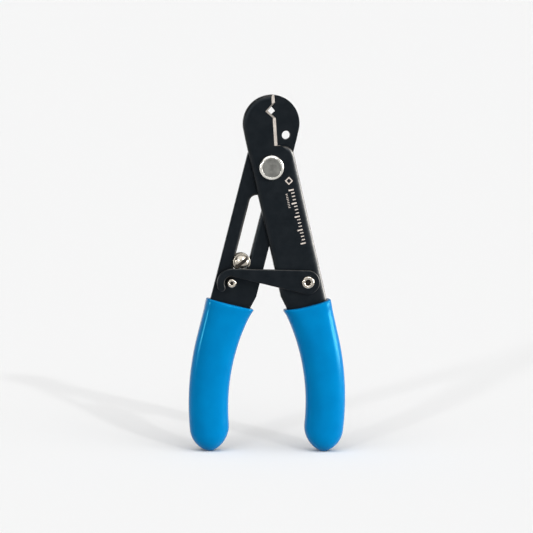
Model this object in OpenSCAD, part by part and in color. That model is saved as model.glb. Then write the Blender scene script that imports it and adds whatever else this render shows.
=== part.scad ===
// Adjustable wire stripper and cutter: two stamped halves on a pivot rivet, a hooked latch,
// a stop screw in a slot, a torsion spring behind the pivot and two vinyl grips.
// Stands on its grip tips, jaws up (+Z); the halves meet on the plane y = 0, front face to -Y.

/* [Overall] */
// Height of the pivot axis above the grip tips
pivot_h = 104.1; // [100:0.1:110]
// Angle of each handle from the tool's centre line
half_angle = 13.65; // [12:0.05:16]
// Thickness of each steel plate
plate_t = 2.5; // [1.5:0.1:3.5]

/* [Plates] */
// Pivot axis to the inner straight edge of a plate
bar_in = 6.8; // [5:0.1:9]
// Pivot axis to the outer straight edge of a plate
bar_out = 9.25; // [7:0.05:12]
// Radius of the round jaw
head_r = 10.45; // [8:0.05:13]
// Height of the jaw's centre above the pivot
head_z = 15.9; // [13:0.1:18]
// Height of the shoulder beside the pivot where the cutting edge ends
shoulder_z = 7.9; // [7:0.1:10]
// Radius of the shoulder's outer corner
shoulder_r = 4.1; // [2:0.1:6]
// Point where the inner edge turns outward, across and below the pivot
knee = [4.45, -47.3];

/* [Cutting edges] */
// Distance of the cutting edge past the pivot axis, at pivot height
edge_x = 3.0; // [2:0.1:4]
// Lean of the cutting edge
edge_lean = 4.35; // [0:0.05:8]
// Width of the ground bevel
bevel_w = 1.4; // [0.8:0.1:2]
// Thickness left at the cutting edge
edge_land = 0.3; // [0.1:0.05:1]
// Height of the stripping notch above the pivot
notch_z = 20.45; // [15:0.05:24]
// Depth of the stripping notch from the cutting edge
notch_d = 2.8; // [1:0.05:4]
// Width of the bevel round the notch
notch_w = 0.8; // [0.5:0.1:2]

/* [Slot and holes] */
// Width of the adjusting slot
slot_w = 5.3; // [4:0.1:7]
// Slot centre line outboard of the pivot axis
slot_u = 1.6; // [0:0.1:3]
// Distance from the pivot to the centre of the slot's upper end
slot_s0 = 13.7; // [12:0.1:18]
// Distance from the pivot to the centre of the slot's lower end
slot_s1 = 37.4; // [30:0.1:40]
// Chamfer round the slot on its front face
slot_chamfer = 0.45; // [0.1:0.05:1]
// Radius of the wire-looping hole
loop_r = 1.55; // [1:0.05:2.5]
// Centre of the wire-looping hole, across and above the pivot
loop_at = [5.6, 11.7];

/* [Pivot] */
// Radius of the pivot rivet's shank
pivot_r = 2.5; // [2:0.1:3.5]
// Radius of the rivet's head
pivot_head_r = 4.6; // [3.5:0.1:6]
// Thickness of the rivet's head
pivot_head_t = 1.55; // [1:0.05:2.5]
// Radius of the washer behind the spring
washer_r = 4.5; // [3.5:0.1:6]
// Thickness of the washer
washer_t = 0.6; // [0.4:0.1:1]
// Wire diameter of the opening spring
spring_wire = 1.0; // [0.6:0.1:1.4]
// Inner radius of the spring's coil
spring_in = 2.8; // [2.7:0.05:3.5]

/* [Latch] */
// Latch pivot, across and below the tool's pivot
latch_at = [13.9, -41.75];
// Catch pin, across and below the tool's pivot
catch_at = [-14.1, -42.1];
// Thickness of the latch
latch_t = 1.5; // [1:0.1:2]
// Radius of the latch's pivot end
latch_r = 4.4; // [3:0.1:6]
// Slope of the latch's lower edge
latch_slope = 13.4; // [5:0.1:20]
// Outer radius of the hook
hook_out = 5.3; // [4:0.1:7]
// Inner radius of the hook
hook_in = 2.6; // [1.8:0.1:4]
// How far the hook's tip reaches below level
hook_dip = 25; // [10:1:60]
// Radius of the catch pin
catch_r = 1.55; // [1:0.05:2.5]
// Radius of the latch rivet's shank
latch_rivet_r = 1.5; // [1:0.05:2.2]
// Radius of the latch rivet's rolled head
latch_head_r = 2.3; // [1.8:0.1:3]

/* [Stop screw] */
// Distance from the pivot to the stop screw along the slot
stop_s = 36.1; // [20:0.1:37]
// Radius of the screw's head
stop_head_r = 3.2; // [2.5:0.1:4]
// Height of the screw's head
stop_head_t = 2.1; // [1.5:0.1:2.4]
// Radius of the screw's shank
stop_r = 1.5; // [1:0.1:2]
// Width of the driver slot
driver_w = 1.2; // [0.8:0.1:1.6]
// Turn of the driver slot from level
driver_turn = 38; // [0:1:180]
// Width of the nut across its flats
nut_af = 5.5; // [5:0.1:7]

/* [Grips] */
// Thickness of each grip, front to back
grip_t = 10; // [6:0.5:14]
// Vinyl wall around the tang's edge
grip_wall = 1.4; // [1:0.1:2.5]
// Distance from the pivot to the grip's rim
rim_s = 51.8; // [50:0.1:56]
// Rounding of the grip's long edges
grip_round = 3.6; // [1:0.1:4.5]

/* [Hidden] */
$fn = 64;
eps = 0.01;
fit = 0.05;        // running clearance, radial
gap = 0.1;         // clearance between sliding faces
far = 60;          // reach of cutting blocks

black = [0.09, 0.10, 0.11];
nickel = [0.72, 0.71, 0.68];
blue = [0.02, 0.44, 0.75];

// grip arcs, all tangent to one another: centre and radius at the grip's surface
out_c = [-71.2, -85.4];
out_r = 100;
in_c = [-61, -87];
in_r = 75;
toe_r = 9;         // outer arc of the tip
heel_r = 10;       // inner arc of the tip
toe_a = -6.3;
heel_a = -5.24;
toe_c = out_c + (out_r - toe_r) * [cos(toe_a), sin(toe_a)];
heel_c = in_c + (in_r + heel_r) * [cos(heel_a), sin(heel_a)];
arc_n = 14;        // steps in each arc

washer_y = plate_t + gap + 2 * spring_wire + gap;
tail_y = washer_y + washer_t;
tail_t = 0.75;
latch_y = -plate_t - gap;          // rear face of the latch
tang = grip_outline(grip_wall);
stop_at = slot_point(stop_s);
spring_mid = spring_in + spring_wire / 2;
leg_end = [8.5, -10];              // where a spring leg turns into its hole
leg_hole = 1.5;
coil_y = plate_t + gap + spring_wire / 2;

function at(c, r, a) = c + r * [cos(a), sin(a)];
function turn(p, a) = [p[0] * cos(a) - p[1] * sin(a), p[0] * sin(a) + p[1] * cos(a)];
// point on a plate: u outboard, s down the handle
function on_bar(u, s) = turn([u, -s], half_angle);
function mirrored(p) = [-p[0], p[1]];
function slot_point(s) = mirrored(on_bar(slot_u, s));
// an arc's points, without its first one unless told
function arc(c, r, a0, a1, i0 = 1) =
    [for (i = [i0:arc_n]) at(c, r, a0 + (a1 - a0) * i / arc_n)];
function bearing(v) = atan2(v[1], v[0]);
// lower crossing of the tip's two arcs
function tip_point(ra, rb) =
    let (v = heel_c - toe_c, d = norm(v), m = (ra * ra - rb * rb + d * d) / (2 * d),
         h = sqrt(ra * ra - m * m))
    toe_c + v * m / d + [v[1], -v[0]] * h / d;
function rim_a(r) =
    half_angle + asin((-rim_s - turn(in_c, -half_angle)[1]) / r);
function floored(p) = [p[0], max(p[1], -pivot_h)];

// outline of a grip, inset by d, in the pivot's frame (the right-hand grip)
function grip_outline(d, s = rim_s) =
    let (tip = tip_point(toe_r - d, heel_r - d))
    [for (p = concat(
        [on_bar(bar_out + grip_wall - d, s)],
        arc(out_c, out_r - d, half_angle, toe_a, 0),
        arc(toe_c, toe_r - d, toe_a, bearing(tip - toe_c)),
        arc(heel_c, heel_r - d, bearing(tip - heel_c), heel_a - 180),
        arc(in_c, in_r + d, heel_a, rim_a(in_r + d)))) floored(p)];

// ---------------------------------------------------------------- helpers

// a flat shape drawn across (x) and up (z) from the pivot, filling y0 to y0 + t
module sheet(y0, t) {
    translate([0, y0 + t, pivot_h]) rotate([90, 0, 0]) linear_extrude(t) children();
}

// a shaft or bore along Y at a point measured from the pivot
module along_y(p, y0, y1, r, r_end = -1) {
    translate([p[0], y0, pivot_h + p[1]]) rotate([-90, 0, 0])
        cylinder(h = y1 - y0, r1 = r, r2 = r_end < 0 ? r : r_end);
}

// a turned part about an axis along Y; points are [radius, y]
module turned(p, points) {
    translate([p[0], 0, pivot_h + p[1]]) rotate([-90, 0, 0])
        rotate_extrude() polygon(points);
}

// everything on the open side of a ground bevel; the edge passes through p
module ground(p, lean, w = bevel_w) {
    translate([p[0], 0, pivot_h + p[1]]) rotate([0, -lean, 0])
        translate([0, 0, -far / 2]) linear_extrude(far)
            polygon([[far, 1], [0, 1], [0, -edge_land], [-w, -plate_t],
                     [-w, -plate_t - 1], [far, -plate_t - 1]]);
}

// ---------------------------------------------------------------- plates

// the steel of one stamped half, jaw to the left and handle to the right
module blank() {
    // the arc crosses the shoulder's level instead of only touching it
    drop = shoulder_r - shoulder_z - 0.15;
    corner = on_bar(bar_out - shoulder_r,
                    ((bar_out - shoulder_r) * sin(half_angle) + drop) / cos(half_angle));
    top_s = -head_z * cos(half_angle);
    difference() {
        union() {
            sheet(-plate_t, plate_t) translate([0, head_z]) circle(r = head_r);
            sheet(-plate_t, plate_t) polygon(concat(
                [on_bar(-bar_in, top_s), knee],
                [for (i = [len(tang) - 1:-1:0]) tang[i]],
                [on_bar(bar_out, top_s)]));
        }
        // rounded shoulder: clear the corner outside its arc
        difference() {
            translate([corner[0], -far / 2, pivot_h + corner[1]]) cube(far);
            along_y(corner, -far, far, shoulder_r);
        }
    }
}

// one half: its notch is cut first, then its ground edge, then its pivot hole
module plate_blank() {
    notch = [edge_x - notch_z * tan(edge_lean) - notch_d, notch_z];
    difference() {
        difference() {
            difference() {
                blank();
                intersection() {
                    ground(notch, edge_lean + 45, notch_w);
                    ground(notch, edge_lean - 45, notch_w);
                }
            }
            intersection() {
                ground([edge_x, 0], edge_lean);
                translate([-far, -far, pivot_h + shoulder_z]) cube(2 * far);
            }
        }
        along_y([0, 0], -plate_t - 1, 1, pivot_r + fit);
    }
}

// blind hole for the end of a spring leg, in a plate's back
module leg_socket(p, y) {
    along_y(p, y - leg_hole, y + 1, spring_wire / 2 + fit);
}

module front_plate() color(black) difference() {
    plate_blank();
    along_y(latch_at, -plate_t - 1, 1, latch_rivet_r);
    leg_socket(leg_end, 0);
}

module slot_cut() {
    a = slot_point(slot_s0);
    len = slot_s1 - slot_s0;
    half = slot_w / 2;
    over = 0.2;                    // the chamfer's cut runs past both of its edges
    wide = half + slot_chamfer + over;
    deep = slot_chamfer + over;
    translate([a[0], 0, pivot_h + a[1]]) rotate([0, half_angle, 0]) {
        for (end = [0, -len]) translate([0, 0, end]) rotate([-90, 0, 0]) {
            translate([0, 0, -1]) cylinder(h = plate_t + 2, r = half);
            translate([0, 0, -over]) cylinder(h = deep + over, r1 = wide, r2 = half - over);
        }
        translate([-half, -1, -len]) cube([slot_w, plate_t + 2, len]);
        translate([0, 0, -len]) linear_extrude(len)
            polygon([[-wide, -over], [wide, -over], [half - over, deep], [over - half, deep]]);
    }
}

module rear_plate() color(black) difference() {
    difference() {
        rotate([0, 0, 180]) plate_blank();
        slot_cut();
    }
    along_y(loop_at, -1, plate_t + 1, loop_r);
    along_y(catch_at, -1, plate_t + 1, catch_r);
    leg_socket(mirrored(leg_end), plate_t);
}

// ---------------------------------------------------------------- pivot

module pivot_rivet() color(nickel) {
    face = -plate_t - gap;
    rim = 0.9;
    turned([0, 0], concat(
        [[0, face - pivot_head_t], [pivot_head_r - rim, face - pivot_head_t]],
        [for (a = [15:15:90]) [pivot_head_r - rim + rim * sin(a),
                               face - pivot_head_t + rim * (1 - cos(a))]],
        [[pivot_head_r, face], [pivot_r, face], [pivot_r, tail_y],
         [pivot_r + 1.2, tail_y], [pivot_r + 0.9, tail_y + tail_t], [0, tail_y + tail_t]]));
}

module pivot_washer() color(nickel) difference() {
    along_y([0, 0], washer_y, tail_y, washer_r);
    along_y([0, 0], washer_y - 1, tail_y + 1, pivot_r + fit);
}

// one leg: off the coil, across to its hole and into it, a hair thinner than its bend
module spring_leg(p, y, y_end) {
    from = at([0, 0], spring_mid, bearing(p) - sign(p[0]) * acos(spring_mid / norm(p)));
    run = p - from;
    leg_r = spring_wire / 2 - 0.03;
    translate([from[0], y, pivot_h + from[1]]) rotate([0, 90 - bearing(run), 0])
        cylinder(h = norm(run), r = leg_r);
    translate([p[0], y, pivot_h + p[1]]) sphere(r = spring_wire / 2);
    along_y(p, y_end, y, leg_r);
}

module opening_spring() color(nickel) {
    pitch = 0.8 * spring_wire;     // the drawn rings sink into each other a little
    for (y = [coil_y, coil_y + pitch])
        translate([0, y, pivot_h]) rotate([90, 0, 0])
            rotate_extrude() translate([spring_mid, 0]) circle(r = spring_wire / 2);
    spring_leg(mirrored(leg_end), coil_y, plate_t - leg_hole + fit);
    spring_leg(leg_end, coil_y + pitch, -leg_hole + fit);
}

// ---------------------------------------------------------------- latch

module latch() color(black) {
    y0 = latch_y - latch_t;
    mid = (hook_out + hook_in) / 2;
    tip = (hook_out - hook_in) / 2;
    low = latch_at + latch_r * [-sin(latch_slope), -cos(latch_slope)];
    inner = [catch_at[0], low[1] + (low[0] - catch_at[0]) * tan(latch_slope)];
    difference() {
        union() {
            sheet(y0, latch_t) polygon([catch_at + [0, hook_out], latch_at + [0.1, latch_r],
                                        latch_at, low, inner]);
            along_y(latch_at, y0, latch_y, latch_r);
            intersection() {
                along_y(catch_at, y0, latch_y, hook_out);
                sheet(y0, latch_t) translate(catch_at)
                    polygon([[0, 0], [1, 0], [1, far], [-far, far], [-far, 0],
                             at([0, 0], far, 180 + hook_dip)]);
            }
            along_y(at(catch_at, mid, 180 + hook_dip), y0, latch_y, tip);
        }
        along_y(catch_at, y0 - 1, latch_y + 1, hook_in);
        along_y(latch_at, y0 - 1, latch_y + 1, latch_rivet_r + fit);
    }
}

// tubular rivet: rolled head in front of the latch, flared tail behind the plate
module latch_rivet() color(nickel) {
    head = latch_y - latch_t - fit;
    hollow = 0.95;
    turned(latch_at, [[hollow, head - 0.45], [hollow + 0.35, head - 0.8],
        [latch_head_r - 0.45, head - 0.8], [latch_head_r, head - 0.4], [latch_head_r, head],
        [latch_rivet_r, head], [latch_rivet_r, 0], [latch_head_r - 0.1, 0],
        [latch_head_r - 0.1, 0.35], [latch_rivet_r + 0.2, 0.7], [hollow, 0.7]]);
}

// hollow-ended pin the hook closes over, clinched behind the plate
module catch_pin() color(nickel) {
    end = latch_y - latch_t - 0.5;
    hollow = 0.7;
    turned(catch_at, [[0, end + 1.6], [hollow, end + 1.4], [hollow, end + 0.25],
        [hollow + 0.25, end], [catch_r - 0.3, end], [catch_r, end + 0.3], [catch_r, plate_t],
        [catch_r + 0.6, plate_t], [catch_r + 0.4, plate_t + 0.6], [0, plate_t + 0.6]]);
}

// ---------------------------------------------------------------- stop screw

washer_s = plate_t + gap;          // front face of the stop's rear washer
nut_y = washer_s + 0.5;
nut_t = 2.2;

module stop_screw() color(nickel) difference() {
    turned(stop_at, [[0, -gap - stop_head_t], [stop_head_r * 0.45, -gap - stop_head_t + 0.1],
        [stop_head_r * 0.72, -gap - stop_head_t + 0.45], [stop_head_r - 0.45, -gap - 1.0],
        [stop_head_r - 0.35, -gap - 0.6], [stop_head_r, -gap - 0.5], [stop_head_r, -gap],
        [stop_r, -gap], [stop_r, nut_y + nut_t + 0.4],
        [stop_r - 0.3, nut_y + nut_t + 0.7], [0, nut_y + nut_t + 0.7]]);
    translate([stop_at[0], 0, pivot_h + stop_at[1]]) rotate([0, -driver_turn, 0])
        translate([-far / 2, -gap - stop_head_t - 1, -driver_w / 2])
            cube([far, 1 + stop_head_t - 0.9, driver_w]);
}

module stop_bush() color(nickel) difference() {
    along_y(stop_at, 0, plate_t + gap / 2, slot_w / 2 - fit);
    along_y(stop_at, -1, plate_t + 1, stop_r + fit);
}

module stop_washer() color(nickel) difference() {
    along_y(stop_at, washer_s, nut_y - eps, 3.4);
    along_y(stop_at, washer_s - 1, nut_y + 1, stop_r + fit);
}

module stop_nut() color(nickel) difference() {
    translate([stop_at[0], nut_y, pivot_h + stop_at[1]]) rotate([-90, 0, 0])
        rotate([0, 0, half_angle]) cylinder(h = nut_t, r = nut_af / sqrt(3), $fn = 6);
    along_y(stop_at, nut_y - 1, nut_y + nut_t + 1, stop_r + fit);
}

// ---------------------------------------------------------------- grips

// inset of the grip's surface at a depth y from its middle plane
function edge_inset(y) =
    let (t = max(0, (abs(y) - grip_t / 2 + grip_round) / grip_round))
    grip_round * (1 - sqrt(max(0, 1 - t * t))) * 0.98;

// one sleeve, drawn as the right-hand one around a plate in front of y = 0
module sleeve() {
    half = grip_t / 2;
    flat = half - grip_round;
    depths = concat([for (a = [90:-15:15]) -flat - grip_round * sin(a)], [-flat, flat],
                    [for (a = [15:15:90]) flat + grip_round * sin(a)]);
    rings = [for (y = depths) grip_outline(edge_inset(y))];
    n = len(rings[0]);
    m = len(depths);
    difference() {
        translate([0, -plate_t / 2, pivot_h]) polyhedron(
            points = [for (k = [0:m - 1]) for (p = rings[k]) [p[0], depths[k], p[1]]],
            faces = concat(
                [[for (i = [0:n - 1]) i]],
                [[for (i = [n - 1:-1:0]) (m - 1) * n + i]],
                [for (k = [0:m - 2]) for (i = [0:n - 1])
                    let (j = (i + 1) % n) [k * n + i, (k + 1) * n + i, (k + 1) * n + j]],
                [for (k = [0:m - 2]) for (i = [0:n - 1])
                    let (j = (i + 1) % n) [k * n + i, (k + 1) * n + j, k * n + j]]));
        sheet(-plate_t, plate_t) polygon(grip_outline(grip_wall, rim_s));
    }
}

module right_grip() color(blue) sleeve();

module left_grip() color(blue) rotate([0, 0, 180]) sleeve();

front_plate();
rear_plate();
pivot_rivet();
pivot_washer();
opening_spring();
latch();
latch_rivet();
catch_pin();
stop_screw();
stop_bush();
stop_washer();
stop_nut();
left_grip();
right_grip();
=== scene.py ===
import math
import bpy
import bmesh
from mathutils import Matrix, Vector

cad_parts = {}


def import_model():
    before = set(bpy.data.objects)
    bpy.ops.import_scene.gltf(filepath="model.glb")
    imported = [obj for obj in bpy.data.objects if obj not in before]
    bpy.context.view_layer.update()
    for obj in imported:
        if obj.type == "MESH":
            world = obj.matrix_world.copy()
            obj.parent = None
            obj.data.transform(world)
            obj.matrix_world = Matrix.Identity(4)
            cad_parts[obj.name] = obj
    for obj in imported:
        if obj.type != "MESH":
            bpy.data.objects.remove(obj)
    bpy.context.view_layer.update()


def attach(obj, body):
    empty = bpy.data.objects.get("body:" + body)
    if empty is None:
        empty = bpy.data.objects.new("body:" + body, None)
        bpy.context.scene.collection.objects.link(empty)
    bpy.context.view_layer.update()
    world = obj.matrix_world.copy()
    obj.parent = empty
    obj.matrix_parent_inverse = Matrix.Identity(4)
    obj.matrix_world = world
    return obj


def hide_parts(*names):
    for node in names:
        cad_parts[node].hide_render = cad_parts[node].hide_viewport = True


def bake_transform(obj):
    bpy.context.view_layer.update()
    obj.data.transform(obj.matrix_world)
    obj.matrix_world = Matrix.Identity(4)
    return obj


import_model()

# ------------------------------------------------------------------ sizes, in millimetres
# They repeat the CAD source, which this script can't read.
MM = 0.001
PIVOT_H = 104.1
HALF = math.radians(13.65)          # each handle's angle from the centre line
PLATE_T = 2.5
BAR_IN, BAR_OUT = 6.8, 9.25
HEAD_R, HEAD_Z = 10.45, 15.9
SHOULDER_Z, SHOULDER_R = 7.9, 4.1
KNEE = (4.45, -47.3)
EDGE_X, EDGE_LEAN = 3.0, math.radians(4.35)
BEVEL_W, NOTCH_BEVEL, EDGE_LAND = 1.4, 0.8, 0.3
NOTCH_Z, NOTCH_D = 20.45, 2.8
SLOT_W, SLOT_U, SLOT_S0, SLOT_S1 = 5.3, 1.6, 13.7, 37.4
SLOT_CHAMFER = 0.45
LOOP_R, LOOP_AT = 1.55, (5.6, 11.7)
PIVOT_R, PIVOT_HEAD_R, PIVOT_HEAD_T = 2.5, 4.6, 1.55
WASHER_R, WASHER_T = 4.5, 0.6
SPRING_WIRE, SPRING_IN = 1.0, 2.8
LATCH_AT, CATCH_AT = (13.9, -41.75), (-14.1, -42.1)
LATCH_T, LATCH_R, LATCH_SLOPE = 1.5, 4.4, math.radians(13.4)
HOOK_OUT, HOOK_IN, HOOK_DIP = 5.3, 2.6, 25.0
CATCH_R, LATCH_RIVET_R, LATCH_HEAD_R = 1.55, 1.5, 2.3
STOP_S, STOP_HEAD_R, STOP_HEAD_T, STOP_R = 36.1, 3.2, 2.1, 1.5
DRIVER_W, DRIVER_TURN, NUT_AF = 1.2, math.radians(38), 5.5
GRIP_T, GRIP_WALL, RIM_S = 10.0, 1.4, 51.8
FIT, GAP = 0.05, 0.1
OUT_C, OUT_R = (-71.2, -85.4), 100.0
IN_C, IN_R = (-61.0, -87.0), 75.0
TOE_R, HEEL_R = 9.0, 10.0
TOE_A, HEEL_A = math.radians(-6.3), math.radians(-5.24)

SLIP = 0.01            # half the film of oil between the two plates
FRONT, BACK = -PLATE_T, PLATE_T
WASHER_Y = PLATE_T + GAP + 2 * SPRING_WIRE + GAP
TAIL_Y = WASHER_Y + WASHER_T
TAIL_T = 0.75
LATCH_Y = -PLATE_T - GAP
COIL_Y = PLATE_T + GAP + SPRING_WIRE / 2
LEG_END = (8.5, -10.0)


def polar(c, r, a):
    return (c[0] + r * math.cos(a), c[1] + r * math.sin(a))


def turn(p, a):
    return (p[0] * math.cos(a) - p[1] * math.sin(a), p[0] * math.sin(a) + p[1] * math.cos(a))


def on_bar(u, s):
    """A point of the front plate: u outboard of the pivot, s down the handle."""
    return turn((u, -s), HALF)


def arc(c, r, a0, a1, n, first=True):
    return [polar(c, r, a0 + (a1 - a0) * i / n) for i in range(0 if first else 1, n + 1)]


def world(p, y):
    """Across and up from the pivot, at a depth y, in metres in the row frame."""
    return Vector((p[0] * MM, y * MM, (PIVOT_H + p[1]) * MM))


def mirrored(p):
    return (-p[0], p[1])


STOP_AT = mirrored(on_bar(SLOT_U, STOP_S))
TOE_C = polar(OUT_C, OUT_R - TOE_R, TOE_A)
HEEL_C = polar(IN_C, IN_R + HEEL_R, HEEL_A)


def tip_point(ra, rb):
    vx, vy = HEEL_C[0] - TOE_C[0], HEEL_C[1] - TOE_C[1]
    d = math.hypot(vx, vy)
    m = (ra * ra - rb * rb + d * d) / (2 * d)
    h = math.sqrt(ra * ra - m * m)
    return (TOE_C[0] + vx * m / d + vy * h / d, TOE_C[1] + vy * m / d - vx * h / d)


def rim_angle(r):
    return HALF + math.asin((-RIM_S - turn(IN_C, -HALF)[1]) / r)


# ------------------------------------------------------------------ materials

def principled(name):
    m = bpy.data.materials.new(name)
    m.use_nodes = True
    nt = m.node_tree
    return m, nt, nt.nodes["Principled BSDF"]


def add(nt, kind, **values):
    n = nt.nodes.new(kind)
    for k, v in values.items():
        if k in n.inputs:
            n.inputs[k].default_value = v
        else:
            setattr(n, k, v)
    return n


def coords(nt, scale=(1, 1, 1), rotation=(0, 0, 0)):
    tc = add(nt, "ShaderNodeTexCoord")
    mp = add(nt, "ShaderNodeMapping")
    mp.inputs["Scale"].default_value = scale
    mp.inputs["Rotation"].default_value = rotation
    nt.links.new(tc.outputs["Object"], mp.inputs["Vector"])
    return mp.outputs["Vector"]


def noise(nt, vec, scale, detail=3.0, rough=0.55):
    n = add(nt, "ShaderNodeTexNoise", Scale=scale, Detail=detail, Roughness=rough)
    nt.links.new(vec, n.inputs["Vector"])
    return n.outputs["Fac"]


def ramp(nt, fac, stops):
    r = add(nt, "ShaderNodeValToRGB")
    els = r.color_ramp.elements
    els[0].position, els[0].color = stops[0][0], (*stops[0][1], 1)
    els[1].position, els[1].color = stops[1][0], (*stops[1][1], 1)
    for pos, col in stops[2:]:
        e = els.new(pos)
        e.color = (*col, 1)
    nt.links.new(fac, r.inputs["Fac"])
    return r.outputs["Color"]


def value_ramp(nt, fac, lo, hi):
    r = add(nt, "ShaderNodeMapRange")
    r.inputs["To Min"].default_value = lo
    r.inputs["To Max"].default_value = hi
    nt.links.new(fac, r.inputs["Value"])
    return r.outputs["Result"]


def bump(nt, shader, heights):
    """heights: (socket, strength, distance in metres), chained one on the other."""
    last = None
    for fac, strength, dist in heights:
        b = add(nt, "ShaderNodeBump", Strength=strength, Distance=dist)
        nt.links.new(fac, b.inputs["Height"])
        if last is not None:
            nt.links.new(last, b.inputs["Normal"])
        last = b.outputs["Normal"]
    nt.links.new(last, shader.inputs["Normal"])


def black_oxide(name, lean):
    """Blackened steel plate: satin, faintly mottled, ground across the bar, lighter and more
    reflective where the mesh's edge value is high: partly real edge wear, partly a painted highlight on rounded
    edges."""
    m, nt, p = principled(name)
    plain = coords(nt)
    lines = coords(nt, scale=(90, 90, 1300), rotation=(0, lean, 0))
    mottle = noise(nt, plain, 260.0, 5.0, 0.6)
    grain = noise(nt, lines, 1.0, 2.0, 0.5)
    fine = noise(nt, plain, 5200.0, 2.0)
    dark = ramp(nt, mottle, [(0.25, (0.0080, 0.0105, 0.0130)), (0.75, (0.0135, 0.0165, 0.0195))])
    # lighter, more reflective colour for rounded edges: partly edge wear, partly painted highlight
    wear_and_highlight = ramp(nt, mottle, [(0.3, (0.055, 0.053, 0.050)), (0.7, (0.125, 0.119, 0.110))])
    edge_wear_and_sheen = add(nt, "ShaderNodeAttribute", attribute_name="edge_wear_and_sheen")
    mix = add(nt, "ShaderNodeMix", data_type="RGBA")
    nt.links.new(edge_wear_and_sheen.outputs["Fac"], mix.inputs["Factor"])
    nt.links.new(dark, mix.inputs["A"])
    nt.links.new(wear_and_highlight, mix.inputs["B"])
    nt.links.new(mix.outputs["Result"], p.inputs["Base Color"])
    p.inputs["Metallic"].default_value = 1.0
    nt.links.new(value_ramp(nt, grain, 0.34, 0.50), p.inputs["Roughness"])
    bump(nt, p, [(fine, 0.10, 0.00002), (grain, 0.45, 0.00005)])
    return m


def ground_steel(name):
    """Bare steel left by the grinding wheel on the cutting bevels."""
    m, nt, p = principled(name)
    lines = coords(nt, scale=(900, 900, 9000))
    plain = coords(nt)
    scratch = noise(nt, lines, 1.0, 3.0, 0.6)
    tint = noise(nt, plain, 900.0, 3.0)
    col = ramp(nt, tint, [(0.3, (0.28, 0.25, 0.222)), (0.7, (0.42, 0.385, 0.35))])
    nt.links.new(col, p.inputs["Base Color"])
    p.inputs["Metallic"].default_value = 0.85
    nt.links.new(value_ramp(nt, scratch, 0.38, 0.58), p.inputs["Roughness"])
    bump(nt, p, [(scratch, 0.25, 0.00002)])
    return m


def nickel(name, rough=0.13, frost_and_painted_dark=0.0, tint=(0.78, 0.755, 0.70)):
    """Nickel plating: bright, with fine handling marks. dull adds a frosted face: rougher, and a darker colour that
    is a painted dark reflection.
    """
    m, nt, p = principled(name)
    plain = coords(nt)
    marks = noise(nt, plain, 1500.0, 4.0, 0.65)
    cloud = noise(nt, plain, 420.0, 3.0)
    dark = tuple(c * (0.80 - 1.6 * frost_and_painted_dark) for c in tint)
    col = ramp(nt, cloud, [(0.35, dark), (0.65, tint)])
    nt.links.new(col, p.inputs["Base Color"])
    p.inputs["Metallic"].default_value = 1.0
    nt.links.new(value_ramp(nt, marks, rough + frost_and_painted_dark * 0.5, rough + 0.12 + frost_and_painted_dark), p.inputs["Roughness"])
    bump(nt, p, [(marks, 0.05 + frost_and_painted_dark, 0.00002)])
    return m


def hollow_shade(name):
    """Painted shade for the unlit inside of a tubular rivet: a dark colour where the hollow gets no light."""
    m, nt, p = principled(name)
    col = ramp(nt, noise(nt, coords(nt), 1400.0, 3.0), [(0.35, (0.010, 0.008, 0.006)), (0.7, (0.055, 0.042, 0.030))])
    nt.links.new(col, p.inputs["Base Color"])
    p.inputs["Metallic"].default_value = 0.4
    p.inputs["Roughness"].default_value = 0.55
    return m


def vinyl(name):
    """Glossy blue dipped vinyl: slightly translucent, with soft flow ripples from dipping."""
    m, nt, p = principled(name)
    plain = coords(nt)
    flow = coords(nt, scale=(120, 120, 45))
    mottle = noise(nt, plain, 140.0, 3.0)
    ripple = noise(nt, flow, 1.0, 2.0, 0.4)
    speck = noise(nt, plain, 2600.0, 2.0)
    col = ramp(nt, mottle, [(0.3, (0.0, 0.100, 0.254)), (0.7, (0.0, 0.115, 0.280))])
    nt.links.new(col, p.inputs["Base Color"])
    nt.links.new(value_ramp(nt, speck, 0.15, 0.21), p.inputs["Roughness"])
    p.inputs["Specular IOR Level"].default_value = 0.2
    p.inputs["Specular Tint"].default_value = (0.05, 0.85, 1.0, 1)
    p.inputs["Subsurface Weight"].default_value = 0.08
    p.inputs["Subsurface Scale"].default_value = 0.002
    p.inputs["Subsurface Radius"].default_value = (0.1, 0.5, 1.0)
    bump(nt, p, [(ripple, 0.10, 0.0004), (speck, 0.05, 0.00003)])
    return m


def ink(name):
    """Pale laser-etched marks."""
    m, nt, p = principled(name)
    mottle = noise(nt, coords(nt), 1800.0, 3.0)
    col = ramp(nt, mottle, [(0.3, (0.29, 0.25, 0.22)), (0.7, (0.43, 0.38, 0.34))])
    nt.links.new(col, p.inputs["Base Color"])
    p.inputs["Roughness"].default_value = 0.6
    return m


MAT_FRONT = black_oxide("black_oxide_front", HALF)
MAT_REAR = black_oxide("black_oxide_rear", -HALF)
MAT_LATCH = black_oxide("black_oxide_latch", math.radians(90))
MAT_GROUND = ground_steel("ground_steel")
MAT_NICKEL = nickel("nickel_bright")
# the rivet head's flat face: frosted, with a darker nickel tint that is a painted dark reflection
MAT_FACE_PAINTED_DARK = nickel("nickel_face_painted_dark", rough=0.22, frost_and_painted_dark=0.14, tint=(0.215, 0.215, 0.20))
MAT_DIM = nickel("nickel_worn", rough=0.16, tint=(0.47, 0.43, 0.37))
MAT_SPRING = nickel("spring_wire", rough=0.25, tint=(0.42, 0.42, 0.43))
MAT_HOLLOW_SHADE = hollow_shade("rivet_hollow_painted_shade")
MAT_VINYL = vinyl("blue_vinyl")
MAT_INK = ink("etched_marks")

# ------------------------------------------------------------------ mesh helpers

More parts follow.
